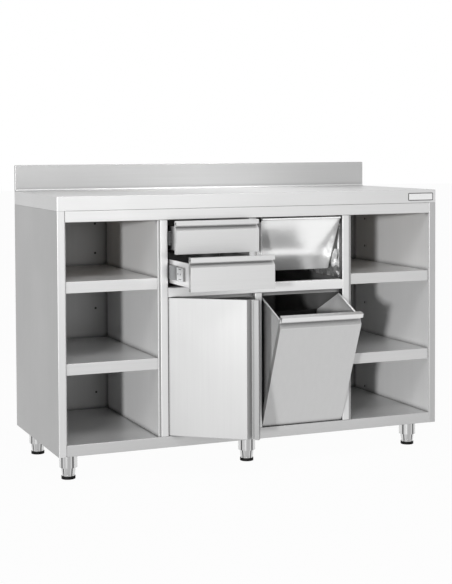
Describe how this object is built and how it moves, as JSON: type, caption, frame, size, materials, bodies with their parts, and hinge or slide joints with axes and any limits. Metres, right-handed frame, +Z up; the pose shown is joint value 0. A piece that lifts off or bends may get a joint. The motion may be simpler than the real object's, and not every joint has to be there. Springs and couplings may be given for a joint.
{
  "type": "coffee machine cabinet",
  "caption": "Brushed stainless counter cabinet on levelling feet with open shelved bays, drawers, a hinged door, a push-in waste flap and a tilt-out waste bin.",
  "frame": {"origin": "middle of the bounding box on the floor plane, with the fronts part open as in the picture", "axes": "+X along the cabinet's width to the right, the front faces -Y, +Z up"},
  "size_m": [1.5, 0.7966, 1.1],
  "materials": {
    "brushed_steel": "satin brushed",
    "polished_steel": "bright polished",
    "zinc_steel": "bright zinc plate",
    "core_board": "raw board, hidden",
    "foot_plastic": "matte black"
  },
  "bodies": {
    "cabinet": {"worktop": "brushed_steel", "backsplash": "brushed_steel", "left_side_panel": "brushed_steel", "right_side_panel": "brushed_steel", "left_divider": "brushed_steel", "right_divider": "brushed_steel", "left_bay_outer_liner": "brushed_steel", "left_bay_inner_liner": "brushed_steel", "right_bay_inner_liner": "brushed_steel", "right_bay_outer_liner": "brushed_steel", "bottom_panel": "brushed_steel", "back_panel": "brushed_steel", "top_rail": "brushed_steel", "middle_rail": "brushed_steel", "mid_post": "brushed_steel", "lower_partition": "brushed_steel", "upper_partition": "brushed_steel", "drawer_deck": "brushed_steel", "left_shelf_1": "brushed_steel", "left_shelf_2": "brushed_steel", "right_shelf_1": "brushed_steel", "right_shelf_2": "brushed_steel", "left_leg_bearer": "brushed_steel", "middle_leg_bearer": "brushed_steel", "right_leg_bearer": "brushed_steel", "worktop_core": "core_board", "upper_left_slide_outer": "zinc_steel", "upper_right_slide_outer": "zinc_steel", "lower_left_slide_outer": "zinc_steel", "lower_right_slide_outer": "zinc_steel", "door_lower_pivot": "zinc_steel", "door_upper_pivot": "zinc_steel", "bin_left_pivot": "zinc_steel", "bin_right_pivot": "zinc_steel", "flap_hinge_bar": "zinc_steel"},
    "upper_drawer": {"upper_drawer_front": "brushed_steel", "upper_drawer_tray": "brushed_steel"},
    "upper_slides": {"upper_left_slide_middle": "zinc_steel", "upper_right_slide_middle": "zinc_steel"},
    "lower_drawer": {"lower_drawer_front": "brushed_steel", "lower_drawer_tray": "brushed_steel"},
    "lower_slides": {"lower_left_slide_middle": "zinc_steel", "lower_right_slide_middle": "zinc_steel"},
    "door": {"door_skin": "brushed_steel", "door_inner_pan": "brushed_steel"},
    "bin": {"bin_front": "brushed_steel", "bin_tub": "brushed_steel"},
    "flap": {"flap_panel": "polished_steel"},
    "front_left_foot": {"front_left_foot_insert": "brushed_steel", "front_left_foot_pad": "foot_plastic"},
    "front_middle_foot": {"front_middle_foot_insert": "brushed_steel", "front_middle_foot_pad": "foot_plastic"},
    "front_right_foot": {"front_right_foot_insert": "brushed_steel", "front_right_foot_pad": "foot_plastic"},
    "rear_left_foot": {"rear_left_foot_insert": "brushed_steel", "rear_left_foot_pad": "foot_plastic"},
    "rear_middle_foot": {"rear_middle_foot_insert": "brushed_steel", "rear_middle_foot_pad": "foot_plastic"},
    "rear_right_foot": {"rear_right_foot_insert": "brushed_steel", "rear_right_foot_pad": "foot_plastic"}
  },
  "joints": [
    {"name": "upper_drawer_slide", "type": "slide", "parent": "cabinet", "child": "upper_drawer", "axis": [0, -1, 0], "range_m": [-0.06, 0.34]},
    {"name": "upper_slide_travel", "type": "slide", "parent": "cabinet", "child": "upper_slides", "axis": [0, -1, 0], "range_m": [-0.03, 0.17]},
    {"name": "lower_drawer_slide", "type": "slide", "parent": "cabinet", "child": "lower_drawer", "axis": [0, -1, 0], "range_m": [-0.1965, 0.2035]},
    {"name": "lower_slide_travel", "type": "slide", "parent": "cabinet", "child": "lower_slides", "axis": [0, -1, 0], "range_m": [-0.09825, 0.10175]},
    {"name": "door_hinge", "type": "hinge", "parent": "cabinet", "child": "door", "pos_m": [-0.335, -0.19375, 0.14], "axis": [0, 0, -1], "range_deg": [-37.6, 57.4]},
    {"name": "bin_pivot", "type": "hinge", "parent": "cabinet", "child": "bin", "pos_m": [0.18225, -0.19175, 0.16], "axis": [1, 0, 0], "range_deg": [-22.7, 0]},
    {"name": "flap_hinge", "type": "hinge", "parent": "cabinet", "child": "flap", "pos_m": [0.18225, -0.19275, 0.902], "axis": [1, 0, 0], "range_deg": [-27.4, 30]},
    {"name": "front_left_foot_adjust", "type": "slide", "parent": "cabinet", "child": "front_left_foot", "axis": [0, 0, -1], "range_m": [0, 0.025]},
    {"name": "front_middle_foot_adjust", "type": "slide", "parent": "cabinet", "child": "front_middle_foot", "axis": [0, 0, -1], "range_m": [0, 0.025]},
    {"name": "front_right_foot_adjust", "type": "slide", "parent": "cabinet", "child": "front_right_foot", "axis": [0, 0, -1], "range_m": [0, 0.025]},
    {"name": "rear_left_foot_adjust", "type": "slide", "parent": "cabinet", "child": "rear_left_foot", "axis": [0, 0, -1], "range_m": [0, 0.025]},
    {"name": "rear_middle_foot_adjust", "type": "slide", "parent": "cabinet", "child": "rear_middle_foot", "axis": [0, 0, -1], "range_m": [0, 0.025]},
    {"name": "rear_right_foot_adjust", "type": "slide", "parent": "cabinet", "child": "rear_right_foot", "axis": [0, 0, -1], "range_m": [0, 0.025]}
  ],
  "couplings": [
    {"joint": "upper_slide_travel", "follows": "upper_drawer_slide", "ratio": 0.5},
    {"joint": "lower_slide_travel", "follows": "lower_drawer_slide", "ratio": 0.5}
  ]
}
